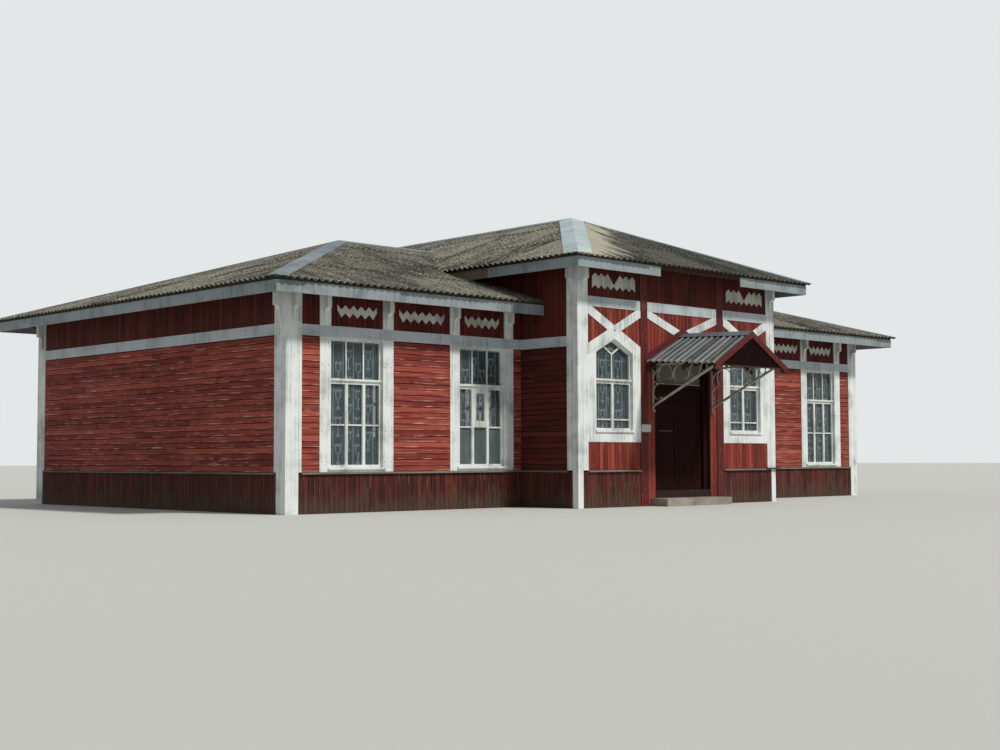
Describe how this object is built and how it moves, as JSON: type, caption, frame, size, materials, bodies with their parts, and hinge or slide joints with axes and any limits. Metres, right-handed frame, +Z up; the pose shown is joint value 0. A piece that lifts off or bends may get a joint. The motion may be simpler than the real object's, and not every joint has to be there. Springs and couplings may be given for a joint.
{
  "type": "railway station building",
  "caption": "One-storey wooden railway station: a hipped centre block with pointed windows and a canopied double door between two lower hipped wings.",
  "frame": {"origin": "middle of the building's plan, at the level of the ground", "axes": "+X along the building to the right of the front door as seen from outside, +Y from the front to the rear, +Z up"},
  "size_m": [18.9, 15.86, 6.2622],
  "materials": {
    "red_boards": "weathered dark red oil paint on boards",
    "plinth_boards": "weathered red-brown paint on upright boards",
    "white_boards": "worn white paint on planed boards",
    "white_frames": "worn white paint on window frames",
    "floor_boards": "bare worn boards",
    "roof_timber": "bare aged rafters and boards",
    "roof_sheets": "grey-brown weathered asbestos cement, with lichen",
    "grey_metal": "dull blue-grey galvanised sheet",
    "pale_metal": "bright galvanised sheet",
    "canopy_metal": "weathered corrugated steel",
    "glass": "dark reflecting window glass",
    "door_glass": "grey-green obscured glass",
    "iron": "grey-beige paint on wrought iron",
    "stone": "worn concrete"
  },
  "bodies": {
    "building": {"plinth": "plinth_boards", "floor": "floor_boards", "left_wing_front_wall": "red_boards", "left_wing_end_wall": "red_boards", "left_wing_rear_wall": "red_boards", "right_wing_front_wall": "red_boards", "right_wing_end_wall": "red_boards", "right_wing_rear_wall": "red_boards", "left_side_wall": "red_boards", "right_side_wall": "red_boards", "front_wall_left": "red_boards", "front_wall_right": "red_boards", "front_wall_over_door": "red_boards", "rear_wall": "red_boards", "center_roof_deck": "roof_timber", "wing_roof_deck": "roof_timber", "center_roof_sheets": "roof_sheets", "wing_roof_sheets": "roof_sheets", "ridge_caps": "grey_metal", "hip_flashings": "pale_metal", "fascias": "white_boards", "ledge_boards": "red_boards", "frieze_bands": "white_boards", "corner_boards": "white_boards", "red_pilasters": "red_boards", "wing_window_casings": "white_boards", "center_window_casings": "white_boards", "crossed_braces": "white_boards", "eave_consoles": "white_boards", "fretwork": "white_boards", "wing_window_sashes": "white_frames", "center_window_sashes": "white_frames", "wing_window_glass": "glass", "center_window_glass": "glass", "door_frame": "red_boards", "transom_glass": "door_glass", "rear_door": "red_boards", "door_steps": "stone", "canopy_frame": "roof_timber", "canopy_sheets": "canopy_metal", "canopy_ridge_caps": "grey_metal", "canopy_rake_boards": "red_boards", "canopy_gable_boards": "red_boards", "canopy_brackets": "iron"},
    "left_leaf": {"door_leaf_left": "red_boards"},
    "right_leaf": {"door_leaf_right": "red_boards"}
  },
  "joints": [
    {"name": "left_leaf_hinge", "type": "hinge", "parent": "building", "child": "left_leaf", "pos_m": [-0.741, -5.971, 1.3], "axis": [0, 0, 1], "range_deg": [0, 90]},
    {"name": "right_leaf_hinge", "type": "hinge", "parent": "building", "child": "right_leaf", "pos_m": [0.741, -5.971, 1.3], "axis": [0, 0, -1], "range_deg": [0, 90]}
  ]
}
